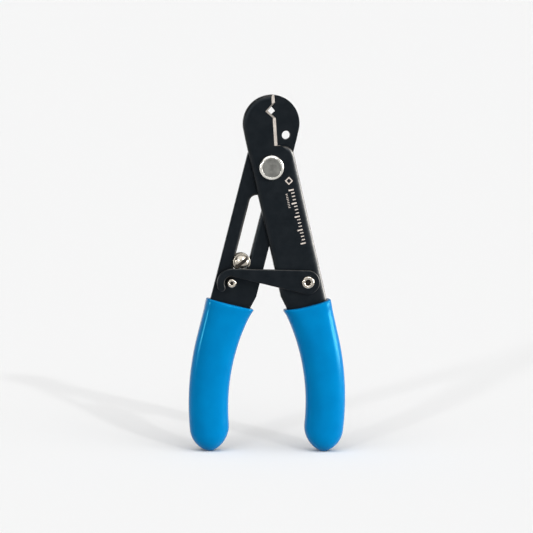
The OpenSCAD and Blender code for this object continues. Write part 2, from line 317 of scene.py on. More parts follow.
def new_object(name, verts, faces, materials, smooth=True, index=None):
    me = bpy.data.meshes.new(name)
    me.from_pydata([tuple(v) for v in verts], [], faces)
    for m in materials:
        me.materials.append(m)
    if index is not None:
        for poly, k in zip(me.polygons, index):
            poly.material_index = k
    for poly in me.polygons:
        poly.use_smooth = smooth
    bm = bmesh.new()
    bm.from_mesh(me)
    bmesh.ops.recalc_face_normals(bm, faces=bm.faces)
    bm.to_mesh(me)
    bm.free()
    ob = bpy.data.objects.new(name, me)
    bpy.context.scene.collection.objects.link(ob)
    return ob


def mark_edge_wear_and_sheen(ob, flats, side=1):
    """Marks rounded edges next to the given depths: 0 on flat faces, rising as the surface
    turns away from the front (partly edge wear, partly painted highlight), and most on the side facing +x, where the
    right-hand light falls: a painted highlight."""
    me = ob.data
    me.update()
    edge_wear_and_sheen = [1.0] * len(me.vertices)
    for poly in me.polygons:
        ny = abs(poly.normal.y)
        v = 0.0 if poly.material_index or ny < 0.05 else max(0.0, min(1.0, (0.995 - ny) / 0.16))
        for i in poly.vertices:
            edge_wear_and_sheen[i] = min(edge_wear_and_sheen[i], v)
    att = me.attributes.new("edge_wear_and_sheen", "FLOAT", "POINT")
    for i, v in enumerate(me.vertices):
        y = v.co.y / MM
        # painted highlight: right-facing edges (normal x above zero) keep the full value, left-facing ones fall to
        # 0.12
        wear_and_highlight = 0.12 + 0.88 * max(0.0, min(1.0, 0.5 + 1.6 * side * v.normal.x))
        att.data[i].value = edge_wear_and_sheen[i] * wear_and_highlight if min(abs(y - f) for f in flats) < 1.1 else 0.0


def finish_mesh(ob, angle=28.0):
    """Weld, mark creases by angle and let flat faces keep their own normals."""
    bm = bmesh.new()
    bm.from_mesh(ob.data)
    bmesh.ops.remove_doubles(bm, verts=bm.verts, dist=2e-6)
    bmesh.ops.dissolve_degenerate(bm, edges=bm.edges, dist=1e-6)
    bmesh.ops.recalc_face_normals(bm, faces=bm.faces)
    for f in bm.faces:
        f.smooth = True
    limit = math.radians(angle)
    for e in bm.edges:
        e.smooth = len(e.link_faces) == 2 and e.calc_face_angle(0.0) < limit
    bm.to_mesh(ob.data)
    bm.free()
    wn = ob.modifiers.new("weighted", "WEIGHTED_NORMAL")
    wn.keep_sharp = True
    wn.weight = 80
    return ob


def boolean(ob, cutter, op="DIFFERENCE"):
    """Applies one exact boolean and removes its cutter."""
    md = ob.modifiers.new("cut", "BOOLEAN")
    md.operation = op
    md.solver = "EXACT"
    md.object = cutter
    bpy.context.view_layer.update()
    deps = bpy.context.evaluated_depsgraph_get()
    me = bpy.data.meshes.new_from_object(ob.evaluated_get(deps))
    ob.modifiers.remove(md)
    old = ob.data
    ob.data = me
    bpy.data.meshes.remove(old)
    bpy.data.objects.remove(cutter)
    return ob


def loft(name, rings, materials, caps=(True, True), index=0):
    """Closed rings of equal length, joined in order."""
    n = len(rings[0])
    verts = [p for r in rings for p in r]
    faces = []
    for k in range(len(rings) - 1):
        for i in range(n):
            j = (i + 1) % n
            faces.append((k * n + i, k * n + j, (k + 1) * n + j, (k + 1) * n + i))
    if caps[0]:
        faces.append(tuple(range(n)))
    if caps[1]:
        faces.append(tuple((len(rings) - 1) * n + i for i in reversed(range(n))))
    return new_object(name, verts, faces, materials, index=[index] * len(faces))


def inset_loop(pts, d):
    """Moves a counter-clockwise outline inwards by d, or by a list of distances, along its corner normals."""
    n = len(pts)
    out = []
    for i, p in enumerate(pts):
        a, b = pts[i - 1], pts[(i + 1) % n]
        e0 = Vector((p[0] - a[0], p[1] - a[1])).normalized()
        e1 = Vector((b[0] - p[0], b[1] - p[1])).normalized()
        n0, n1 = Vector((-e0.y, e0.x)), Vector((-e1.y, e1.x))
        m = n0 + n1
        m = m.normalized() if m.length > 1e-6 else n0
        k = (d[i] if isinstance(d, list) else d) / max(0.55, m.dot(n0))
        out.append((p[0] + m.x * k, p[1] + m.y * k))
    return out


def sheet_part(name, pts, y_face, y_back, roll, depth, back_break, materials, steps=7, weight=None):
    """A stamped sheet: pts is its counter-clockwise outline, y_face the side that the punch
    entered, with a die roll `roll` wide and `depth` deep, y_back the side it left, a broken edge.
    weight, one number a point, fades the roll out where the edge is ground away later."""
    sign = 1 if y_back > y_face else -1
    rings = [(back_break, y_back), (0.0, y_back - sign * back_break)]
    for i in range(steps + 1):
        a = math.pi / 2 * i / steps
        rings.append((roll * (1 - math.cos(a)), y_face + sign * depth * (1 - math.sin(a))))
    out = []
    for d, y in rings:
        loop = inset_loop(pts, [d * k for k in weight] if weight else d)
        out.append([world(p, y) for p in loop])
    return loft(name, out, materials)


def prism(name, pts, y0, y1, materials, index=0):
    """A straight cutter: an outline in the pivot's plane, from y0 to y1."""
    rings = [[world(p, y) for p in pts] for y in (y0, y1)]
    return loft(name, rings, materials, index=index)


def circle_pts(c, r, n=48, phase=0.0):
    return [polar(c, r, phase + 2 * math.pi * i / n) for i in range(n)]


def lathe(name, at, profile, materials, n=64, index=None, phase=0.0):
    """A part turned about an axis along Y; profile is [(radius, y)], radius 0 closes it."""
    verts, faces, idx = [], [], []
    rows = []
    for r, y in profile:
        if r < 1e-6:
            rows.append([len(verts)])
            verts.append(world(at, y))
        else:
            rows.append(list(range(len(verts), len(verts) + n)))
            verts += [world(polar(at, r, phase + 2 * math.pi * i / n), y) for i in range(n)]
    closed = profile[0][0] > 1e-6 and profile[-1][0] > 1e-6
    pairs = list(zip(rows, rows[1:])) + ([(rows[-1], rows[0])] if closed else [])
    for k, (a, b) in enumerate(pairs):
        mat = index[k] if index else 0
        for i in range(n):
            j = (i + 1) % n
            if len(a) == 1 and len(b) == 1:
                continue
            if len(a) == 1:
                faces.append((a[0], b[j], b[i]))
            elif len(b) == 1:
                faces.append((a[i], a[j], b[0]))
            else:
                faces.append((a[i], a[j], b[j], b[i]))
            idx.append(mat)
    return new_object(name, verts, faces, materials, index=idx)


def rounded(r0, y0, r1, y1, n=6):
    """A quarter-round profile from a face point (r0, y0) out to a side point (r1, y1)."""
    return [(r0 + (r1 - r0) * math.sin(math.pi / 2 * i / n),
             y1 + (y0 - y1) * math.cos(math.pi / 2 * i / n)) for i in range(n + 1)]


def tube(name, path, r, materials, n=20):
    """A round wire along a path of points in metres, with rounded ends."""
    pts = [Vector(p) for p in path]
    rings = []
    side = None
    for i, p in enumerate(pts):
        t = (pts[min(i + 1, len(pts) - 1)] - pts[max(i - 1, 0)]).normalized()
        if side is None:
            side = t.orthogonal().normalized()
        side = (side - t * side.dot(t)).normalized()
        up = t.cross(side)
        rings.append([p + (side * math.cos(a) + up * math.sin(a)) * r
                      for a in (2 * math.pi * k / n for k in range(n))])
    return loft(name, rings, materials)


def place(ob, body, node_slot, *nodes):
    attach(ob, body)
    if nodes:
        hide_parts(*nodes)
    return ob

# ------------------------------------------------------------------ plates

EXTRA = 1.0     # the blank stands this far past the cutting edge before it is ground


def edge_at(z, off=0.0):
    return (EDGE_X - z * math.tan(EDGE_LEAN) + off, z)


def grip_edge(d, n=14):
    """The grip's outline inset by d, outer rim corner first, clockwise round the tip."""
    tip = tip_point(TOE_R - d, HEEL_R - d)
    ta = math.atan2(tip[1] - TOE_C[1], tip[0] - TOE_C[0])
    ha = math.atan2(tip[1] - HEEL_C[1], tip[0] - HEEL_C[0])
    pts = [on_bar(BAR_OUT + GRIP_WALL - d, RIM_S)]
    pts += arc(OUT_C, OUT_R - d, HALF, TOE_A, n)
    pts += arc(TOE_C, TOE_R - d, TOE_A, ta, n, False)
    pts += arc(HEEL_C, HEEL_R - d, ha, HEEL_A - math.pi, n, False)
    pts += arc(IN_C, IN_R + d, HEEL_A, rim_angle(IN_R + d), n, False)
    return [(x, max(z, -PIVOT_H)) for x, z in pts]


def refine(pts, longest=2.5):
    """Adds points along long straight runs, so that inset corners stay even."""
    out = []
    for i, p in enumerate(pts):
        q = pts[(i + 1) % len(pts)]
        k = max(1, int(math.hypot(q[0] - p[0], q[1] - p[1]) / longest))
        out += [(p[0] + (q[0] - p[0]) * j / k, p[1] + (q[1] - p[1]) * j / k) for j in range(k)]
    return out


def blank_outline():
    """The front plate before grinding, counter-clockwise seen from the front."""
    a_tan = math.pi + HALF                                         # where head meets the bar
    top = edge_at(HEAD_Z + HEAD_R * 0.99, EXTRA)
    a_top = math.atan2(math.sqrt(HEAD_R ** 2 - top[0] ** 2), top[0])
    head = arc((0, HEAD_Z), HEAD_R, a_top, a_tan, 44)
    corner_u = BAR_OUT - SHOULDER_R
    corner = on_bar(corner_u, (corner_u * math.sin(HALF) + SHOULDER_R - SHOULDER_Z) / math.cos(HALF))
    shoulder = arc(corner, SHOULDER_R, HALF, math.pi / 2, 12)
    outline = head + [on_bar(-BAR_IN, -HEAD_Z * math.cos(HALF) + 3), KNEE]
    outline += list(reversed(grip_edge(GRIP_WALL))) + shoulder + [edge_at(SHOULDER_Z, EXTRA)]
    return refine(outline)


def bevel_block(name, p, lean, width, materials):
    """The open side of a ground bevel whose edge passes through p, leaning left by lean."""
    reach = 40.0
    past = width * 0.6 / (PLATE_T - EDGE_LAND)
    section = [(reach, 0.6), (0.0, 0.6), (0.0, -EDGE_LAND), (-width - past, -PLATE_T - 0.6),
               (reach, -PLATE_T - 0.6)]
    axis = (-math.sin(lean), math.cos(lean))
    side = (math.cos(lean), math.sin(lean))
    rings = []
    for t in (-reach, reach):
        rings.append([world((p[0] + side[0] * n + axis[0] * t, p[1] + side[1] * n + axis[1] * t), y)
                      for n, y in section])
    return loft(name, rings, materials, index=1)


def ground_blank(name, materials):
    pts = blank_outline()
    weight = []
    for x, z in pts:
        gap = edge_at(z, EXTRA)[0] - x if z > SHOULDER_Z - 0.01 and x <= edge_at(z, EXTRA)[0] else x - edge_at(z, EXTRA)[0]
        near = z > SHOULDER_Z - 0.5
        t = min(1.0, max(0.0, gap / 2.4)) if near else 1.0
        out = max(0.0, min(1.0, x * math.cos(HALF) + z * math.sin(HALF) - BAR_OUT + 1.0))
        low = max(0.0, min(1.0, (SHOULDER_Z - SHOULDER_R - z) / 6.0))
        weight.append(t + 0.75 * out * low)                        # the outer edge rolls widest
    ob = sheet_part(name, pts, FRONT, 0.0, 1.8, 1.05, 0.1, materials, 9, weight=weight)
    notch = (edge_at(NOTCH_Z)[0] - NOTCH_D, NOTCH_Z)
    vee = bevel_block("vee", notch, EDGE_LEAN + math.pi / 4, NOTCH_BEVEL, materials)
    boolean(vee, bevel_block("vee2", notch, EDGE_LEAN - math.pi / 4, NOTCH_BEVEL, materials), "INTERSECT")
    boolean(ob, vee)
    edge = bevel_block("edge", (EDGE_X, 0.0), EDGE_LEAN, BEVEL_W, materials)
    keep = prism("keep", [(-30, SHOULDER_Z), (30, SHOULDER_Z), (30, 45), (-30, 45)], -8, 8, materials, 1)
    boolean(edge, keep, "INTERSECT")
    boolean(ob, edge)
    return ob


def hole(ob, at, r, y0, y1, materials, chamfer=0.15, lo=True, hi=True):
    """A drilled hole with a small countersink at each open face."""
    prof = [(0, y0 - 1)]
    if lo:
        prof += [(r + chamfer + 1, y0 - 1), (r + chamfer, y0), (r, y0 + chamfer)]
    else:
        prof += [(r, y0 - 1)]
    if hi:
        prof += [(r, y1 - chamfer), (r + chamfer, y1), (r + chamfer + 1, y1 + 1)]
    else:
        prof += [(r, y1 + 1)]
    prof += [(0, y1 + 1)]
    return boolean(ob, lathe("drill", at, prof, materials, n=56))


def capsule(s0, s1, r, n=20):
    """The slot's outline in the rear plate, r from its centre line."""
    a, b = on_bar(SLOT_U, s0), on_bar(SLOT_U, s1)
    pts = arc(a, r, HALF, HALF + math.pi, n) + arc(b, r, HALF + math.pi, HALF + 2 * math.pi, n)
    return [mirrored(p) for p in reversed(pts)]


def ease(ob, y):
    """Moves the face in the plane between the plates to y, which leaves a film of oil."""
    for v in ob.data.vertices:
        if abs(v.co.y) < 1e-6:
            v.co.y = y * MM


def make_front():
    mats = [MAT_FRONT, MAT_GROUND]
    ob = ground_blank("front_blade", mats)
    hole(ob, (0, 0), PIVOT_R + FIT, FRONT, 0, mats)
    hole(ob, LATCH_AT, LATCH_RIVET_R, FRONT, 0, mats)
    boolean(ob, lathe("socket", LEG_END, [(0, -1.5), (SPRING_WIRE / 2 + FIT, -1.5),
                                          (SPRING_WIRE / 2 + FIT, 1), (0, 1)], mats, n=24))
    ease(ob, -SLIP)
    finish_mesh(ob)
    mark_edge_wear_and_sheen(ob, (FRONT,))
    return place(ob, "front_half", "black_steel", "front_plate")


def make_rear():
    mats = [MAT_REAR, MAT_GROUND]
    ob = ground_blank("rear_blade", mats)
    ob.data.transform(Matrix.Rotation(math.pi, 4, "Z"))
    w, d = 1.2, 0.8
    steps = [(0.0, PLATE_T + 1)]
    steps += [(w * (1 - math.cos(a)), d * (1 - math.sin(a))) for a in (math.pi / 2 * i / 7 for i in range(8))]
    steps.append((w + 0.8, -0.25))
    rings = [[world(p, y) for p in capsule(SLOT_S0, SLOT_S1, SLOT_W / 2 + d)] for d, y in steps]
    boolean(ob, loft("slot", rings, mats))
    hole(ob, (0, 0), PIVOT_R + FIT, 0, BACK, mats)
    hole(ob, LOOP_AT, LOOP_R, 0, BACK, mats, chamfer=0.2)
    hole(ob, CATCH_AT, CATCH_R, 0, BACK, mats)
    boolean(ob, lathe("socket", mirrored(LEG_END), [(0, 1.0), (SPRING_WIRE / 2 + FIT, 1.0),
                                                    (SPRING_WIRE / 2 + FIT, 3.5), (0, 3.5)], mats, n=24))
    ease(ob, SLIP)
    finish_mesh(ob)
    mark_edge_wear_and_sheen(ob, (BACK, 0.0))
    return place(ob, "rear_half", "black_steel", "rear_plate")


def make_marks():
    """A plain graduated scale of etched ticks along the front plate's outer side."""
    verts, faces = [], []
    y0, y1 = FRONT - 0.012, FRONT + 0.05

    def bar(u0, s0, u1, s1):
        base = len(verts)
        for y in (y0, y1):
            for u, s in ((u0, s0), (u1, s0), (u1, s1), (u0, s1)):
                verts.append(world(on_bar(u, s), y))
        faces.extend([(base, base + 3, base + 2, base + 1), (base + 4, base + 5, base + 6, base + 7)])
        for i in range(4):
            j = (i + 1) % 4
            faces.append((base + i, base + j, base + 4 + j, base + 4 + i))

    # a plain diamond at the top
    c, n = on_bar(5.2, 6.2), 4
    base = len(verts)
    for y in (y0, y1):
        for r in (0.95, 1.5):
            verts.extend(world(p, y) for p in circle_pts(c, r, n))
    for i in range(n):
        j = (i + 1) % n
        a, b, d, e = base, base + n, base + 2 * n, base + 3 * n
        faces.extend([(a + i, a + j, b + j, b + i), (d + i, e + i, e + j, d + j),
                      (a + j, a + i, d + i, d + j), (b + i, b + j, e + j, e + i)])
    # short and long ticks, and a row of finer ones beside them
    for i in range(17):
        s = 9.4 + i * 1.25
        long = i % 4 == 0
        bar(4.3 if long else 5.0, s, 6.2, s + (0.5 if long else 0.34))
    for i in range(9):
        s = 10.65 + i * 0.625
        bar(2.9, s, 3.6, s + 0.2)
    ob = new_object("scale_marks", verts, faces, [MAT_INK], smooth=False)
    return place(ob, "front_half", "black_steel")

# ------------------------------------------------------------------ latch

def latch_outline():
    low = polar(LATCH_AT, LATCH_R, -math.pi / 2 - LATCH_SLOPE)
    high_a = math.pi / 2 + math.atan2((CATCH_AT[1] + HOOK_OUT) - (LATCH_AT[1] + LATCH_R),
                                      LATCH_AT[0] - CATCH_AT[0]) * 1.0
    mid, tip = (HOOK_OUT + HOOK_IN) / 2, (HOOK_OUT - HOOK_IN) / 2
    end_a = math.pi + math.radians(HOOK_DIP)
    pts = arc(LATCH_AT, LATCH_R, -math.pi / 2 - LATCH_SLOPE, high_a, 30)
    pts += arc(CATCH_AT, HOOK_OUT, math.pi / 2, end_a, 24)
    pts += arc(polar(CATCH_AT, mid, end_a), tip, end_a, end_a + math.pi, 12, False)
    # back round the inside of the hook to where the lower edge leaves it
    run = math.tan(LATCH_SLOPE)
    a = end_a
    inner = []
    for i in range(1, 60):
        a = end_a - i * math.radians(2.6)
        p = polar(CATCH_AT, HOOK_IN, a)
        line = low[1] + (low[0] - p[0]) * run
        if p[0] > CATCH_AT[0] - 0.6 and p[1] < line:
            break
        inner.append(p)
    pts += inner
    # a soft corner where the hook runs into the lower edge
    pts.append((inner[-1][0] + 0.45, low[1] + (low[0] - inner[-1][0] - 0.45) * run + 0.02))
    pts.append((inner[-1][0] + 1.1, low[1] + (low[0] - inner[-1][0] - 1.1) * run))
    return refine(pts, 2.0)


def make_latch():
    mats = [MAT_LATCH]
    ob = sheet_part("latch_bar", latch_outline(), LATCH_Y - LATCH_T, LATCH_Y, 0.42, 0.36, 0.1, mats, 6)
    hole(ob, LATCH_AT, LATCH_RIVET_R + FIT, LATCH_Y - LATCH_T, LATCH_Y, mats, 0.1)
    finish_mesh(ob)
    mark_edge_wear_and_sheen(ob, (LATCH_Y - LATCH_T,))
    return place(ob, "latch", "black_steel", "latch")

# ------------------------------------------------------------------ turned parts

def make_pivot():
    face = -PLATE_T - GAP
    top = face - PIVOT_HEAD_T
    rim = PIVOT_HEAD_R - 3.55
    prof = [(0, top + 0.02), (1.2, top + 0.02), (2.4, top + 0.015), (3.3, top + 0.005), (3.42, top + 0.01), (3.5, top + 0.08), (3.58, top + 0.015)]
    prof += rounded(3.64, top, PIVOT_HEAD_R, top + 1.0, 9)
    prof += [(PIVOT_HEAD_R, face - 0.15), (PIVOT_HEAD_R - 0.15, face), (PIVOT_R, face), (PIVOT_R, TAIL_Y)]
    prof += [(PIVOT_R + 1.2, TAIL_Y)] + list(reversed(rounded(2.3, TAIL_Y + TAIL_T - 0.05, PIVOT_R + 1.2, TAIL_Y + 0.1, 6)))[1:]
    prof += [(1.6, TAIL_Y + TAIL_T - 0.12), (1.1, TAIL_Y + TAIL_T - 0.28), (0, TAIL_Y + TAIL_T - 0.32)]
    index = [1, 1, 1, 1, 1, 1] + [0] * (len(prof) - 7)
    ob = lathe("pivot_rivet_body", (0, 0), prof, [MAT_NICKEL, MAT_FACE_PAINTED_DARK], n=96, index=index)
    finish_mesh(ob, 40)
    place(ob, "pivot", "nickel", "pivot_rivet")
    c = 0.12
    washer = [(PIVOT_R + FIT, WASHER_Y + c), (PIVOT_R + FIT + c, WASHER_Y), (WASHER_R - c, WASHER_Y),
              (WASHER_R, WASHER_Y + c), (WASHER_R, TAIL_Y - c), (WASHER_R - c, TAIL_Y),
              (PIVOT_R + FIT + c, TAIL_Y), (PIVOT_R + FIT, TAIL_Y - c)]
    ob = lathe("pivot_washer_ring", (0, 0), washer, [MAT_NICKEL], n=72)
    finish_mesh(ob)
    place(ob, "pivot", "nickel", "pivot_washer")


def make_spring():
    """Two halves of one wound wire, one for each leg."""
    mid = SPRING_IN + SPRING_WIRE / 2
    r = SPRING_WIRE / 2

    def leg(p, y_from, y_hole, a_off):
        d = math.hypot(*p)
        sgn = 1 if p[0] > 0 else -1
        bearing = math.atan2(p[1], p[0])
        a0 = bearing - sgn * math.acos(mid / d)
        start = polar((0, 0), mid, a0)
        pts = [world((start[0] + (p[0] - start[0]) * t / 14, start[1] + (p[1] - start[1]) * t / 14), y_from)
               for t in range(1, 14)]
        last = pts[-1]
        bend = 0.7
        corner = world(p, y_from)
        into = world(p, y_hole)
        d1 = (corner - last).normalized()
        d2 = (into - corner).normalized()
        b = [corner - d1 * bend * MM * (1 - t / 6) ** 2 + d2 * bend * MM * (t / 6) ** 2 for t in range(0, 7)]
        return a0, pts + b + [into + (corner - into) * 0.4, into]

    a_l, leg_l = leg(mirrored(LEG_END), COIL_Y, 1.05, 0)
    a_r, leg_r = leg(LEG_END, COIL_Y + 0.95 * SPRING_WIRE, -1.45, 0)
    # from the left leg's tangent point round to the top, and on to the right leg's
    pitch = 0.95 * SPRING_WIRE
    a_l %= 2 * math.pi
    a_r %= 2 * math.pi
    n = 48
    top = math.pi / 2 + 2 * math.pi
    first, second = [], []
    span1 = (a_l - top) % (2 * math.pi) + 0.0
    for i in range(n + 1):
        a = a_l - span1 * i / n
        first.append(world(polar((0, 0), mid, a), COIL_Y + pitch * 0.5 * i / n))
    span2 = (math.pi / 2 - a_r) % (2 * math.pi) + 0.0
    for i in range(n + 1):
        a = math.pi / 2 - span2 * i / n
        second.append(world(polar((0, 0), mid, a), COIL_Y + pitch * (0.5 + 0.5 * i / n)))
    ob1 = tube("spring_left_leg", list(reversed(leg_l)) + first, r * MM, [MAT_SPRING])
    ob2 = tube("spring_right_leg", second + leg_r, r * MM, [MAT_SPRING])
    for ob in (ob1, ob2):
        finish_mesh(ob, 50)
    for ob, outer, side in ((ob1, "rear_half", -1), (ob2, "front_half", 1)):
        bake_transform(ob)
    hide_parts("opening_spring")
    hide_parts("opening_spring")


def make_latch_rivet():
    head = LATCH_Y - LATCH_T - FIT
    hollow = 0.95
    R = LATCH_HEAD_R
    prof = [(0, head + 1.5), (hollow - 0.15, head + 1.4), (hollow, head + 1.1), (hollow, head - 0.25)]
    mid_r = (hollow + R) / 2
    half = (R - hollow) / 2
    for i in range(1, 16):
        a = math.pi - math.pi * i / 16
        prof.append((mid_r + half * math.cos(a), head - 0.25 - 0.55 * math.sin(a)))
    prof += [(R, head - 0.2), (R - 0.08, head), (LATCH_RIVET_R, head), (LATCH_RIVET_R, 0.0),
             (R - 0.1, 0.0), (R - 0.1, 0.3), (R - 0.35, 0.55), (LATCH_RIVET_R, 0.7),
             (hollow, 0.68), (hollow - 0.2, 0.4), (0, 0.3)]
    # the hollow's inner faces take the painted shade
    index = [1, 1, 1] + [0] * (len(prof) - 4)
    ob = lathe("latch_rivet_body", LATCH_AT, prof, [MAT_DIM, MAT_HOLLOW_SHADE], n=64, index=index)
    finish_mesh(ob, 40)
    return place(ob, "front_half", "nickel", "latch_rivet")


def make_catch_pin():
    end = LATCH_Y - LATCH_T - 0.5
    hollow = 0.62
    prof = [(0, end + 1.5), (hollow * 0.8, end + 1.3), (hollow, end + 0.4)]
    mid_r, half = (hollow + CATCH_R) / 2, (CATCH_R - hollow) / 2
    for i in range(1, 12):
        a = math.pi - math.pi * i / 12
        prof.append((mid_r + half * math.cos(a), end + 0.35 - 0.35 * math.sin(a)))
    prof += [(CATCH_R, end + 0.5), (CATCH_R, PLATE_T), (CATCH_R + 0.6, PLATE_T), (CATCH_R + 0.6, PLATE_T + 0.2),
             (CATCH_R + 0.35, PLATE_T + 0.5), (CATCH_R - 0.3, PLATE_T + 0.58), (0, PLATE_T + 0.5)]
    # the hollow's inner faces take the painted shade
    index = [1, 1] + [0] * (len(prof) - 3)
    ob = lathe("catch_pin_body", CATCH_AT, prof, [MAT_DIM, MAT_HOLLOW_SHADE], n=56, index=index)
    finish_mesh(ob, 40)
    return place(ob, "rear_half", "nickel", "catch_pin")


def make_stop():
    washer_s = PLATE_T + GAP
    nut_y = washer_s + 0.5
    nut_t = 2.2
    end = nut_y + nut_t + 0.7
    top = -GAP - STOP_HEAD_T
    # domed, slotted head on a thin flange
    prof = [(0, top)]
    dome_r = STOP_HEAD_R - 0.42
    for i in range(1, 13):
        a = math.pi / 2 * i / 12
        prof.append((dome_r * math.sin(a), top + (STOP_HEAD_T - 0.65) * (1 - math.cos(a))))
    prof += [(dome_r + 0.02, -GAP - 0.52), (STOP_HEAD_R - 0.16, -GAP - 0.5)]
    prof += rounded(STOP_HEAD_R - 0.15, -GAP - 0.5, STOP_HEAD_R, -GAP - 0.32, 4)[1:]
    prof += [(STOP_HEAD_R, -GAP - 0.1), (STOP_HEAD_R - 0.08, -GAP), (STOP_R, -GAP)]
    # plain shank, then thread crests to the end
    prof.append((STOP_R, nut_y - 0.2))
    y = nut_y - 0.1
    while y < end - 0.4:
        prof += [(STOP_R - 0.22, y), (STOP_R, y + 0.2), (STOP_R, y + 0.25), (STOP_R - 0.22, y + 0.45)]
        y += 0.5
    prof += [(STOP_R - 0.3, end), (0, end)]
    ob = lathe("stop_screw_body", STOP_AT, prof, [MAT_DIM, MAT_HOLLOW_SHADE], n=72)
    d = (math.cos(DRIVER_TURN), math.sin(DRIVER_TURN))
    s = (-d[1], d[0])
    h = DRIVER_W / 2
    rect = [(STOP_AT[0] + d[0] * a + s[0] * b, STOP_AT[1] + d[1] * a + s[1] * b)
            for a, b in ((-5, -h), (5, -h), (5, h), (-5, h))]
    # the driver slot's walls take the hollow material: painted shade in the slot
    boolean(ob, prism("driver", rect, top - 1, top + 1.2, [MAT_DIM, MAT_HOLLOW_SHADE], 1))
    finish_mesh(ob, 35)
    bev = ob.modifiers.new("edge", "BEVEL")
    bev.width = 0.00006
    bev.segments = 2
    bev.limit_method = "ANGLE"
    bev.angle_limit = math.radians(60)
    ob.modifiers.move(1, 0)
    place(ob, "stop_screw", "nickel", "stop_screw")

    c = 0.15
    r0, r1 = STOP_R + FIT, SLOT_W / 2 - FIT
    ring = [(r0, c), (r0 + c, 0), (r1 - c, 0), (r1, c), (r1, PLATE_T - 0.1), (r1 - c, PLATE_T + GAP / 2),
            (r0 + c, PLATE_T + GAP / 2), (r0, PLATE_T - 0.1)]
    ob = lathe("stop_bush_body", STOP_AT, ring, [MAT_NICKEL], n=56)
    finish_mesh(ob)
    place(ob, "stop", "nickel", "stop_bush")
    r1 = 3.4
    y0, y1 = washer_s, nut_y - 0.01
    ring = [(r0, y0 + 0.08), (r0 + 0.08, y0), (r1 - 0.1, y0), (r1, y0 + 0.1), (r1, y1 - 0.1), (r1 - 0.1, y1),
            (r0 + 0.08, y1), (r0, y1 - 0.08)]
    ob = lathe("stop_washer_body", STOP_AT, ring, [MAT_NICKEL], n=56)
    finish_mesh(ob)
    place(ob, "stop", "nickel", "stop_washer")

    # hexagonal nut with turned chamfers
    rc = NUT_AF / math.sqrt(3)
    nut = lathe("stop_nut_body", STOP_AT, [(r0, nut_y + 0.15), (r0 + 0.2, nut_y), (NUT_AF / 2 - 0.05, nut_y),
                (rc + 0.02, nut_y + 0.3), (rc + 0.02, nut_y + nut_t - 0.3), (NUT_AF / 2 - 0.05, nut_y + nut_t),
                (r0 + 0.2, nut_y + nut_t), (r0, nut_y + nut_t - 0.15)], [MAT_NICKEL], n=72)
    hexa = prism("hex", [polar(STOP_AT, rc, -HALF + math.pi / 3 * i) for i in range(6)], nut_y - 1,
                 nut_y + nut_t + 1, [MAT_NICKEL])
    boolean(nut, hexa, "INTERSECT")
    finish_mesh(nut, 25)
    place(nut, "stop", "nickel", "stop_nut")

# ------------------------------------------------------------------ grips

def resample(pts, n):
    """n + 1 points at even distances along a polyline."""
    cum = [0.0]
    for a, b in zip(pts, pts[1:]):
        cum.append(cum[-1] + math.hypot(b[0] - a[0], b[1] - a[1]))
    out = []
    k = 0
    for i in range(n + 1):
        d = cum[-1] * i / n
        while k < len(pts) - 2 and cum[k + 1] < d:
            k += 1
        t = (d - cum[k]) / max(1e-9, cum[k + 1] - cum[k])
        a, b = pts[k], pts[k + 1]
        out.append((a[0] + (b[0] - a[0]) * t, a[1] + (b[1] - a[1]) * t))
    return out


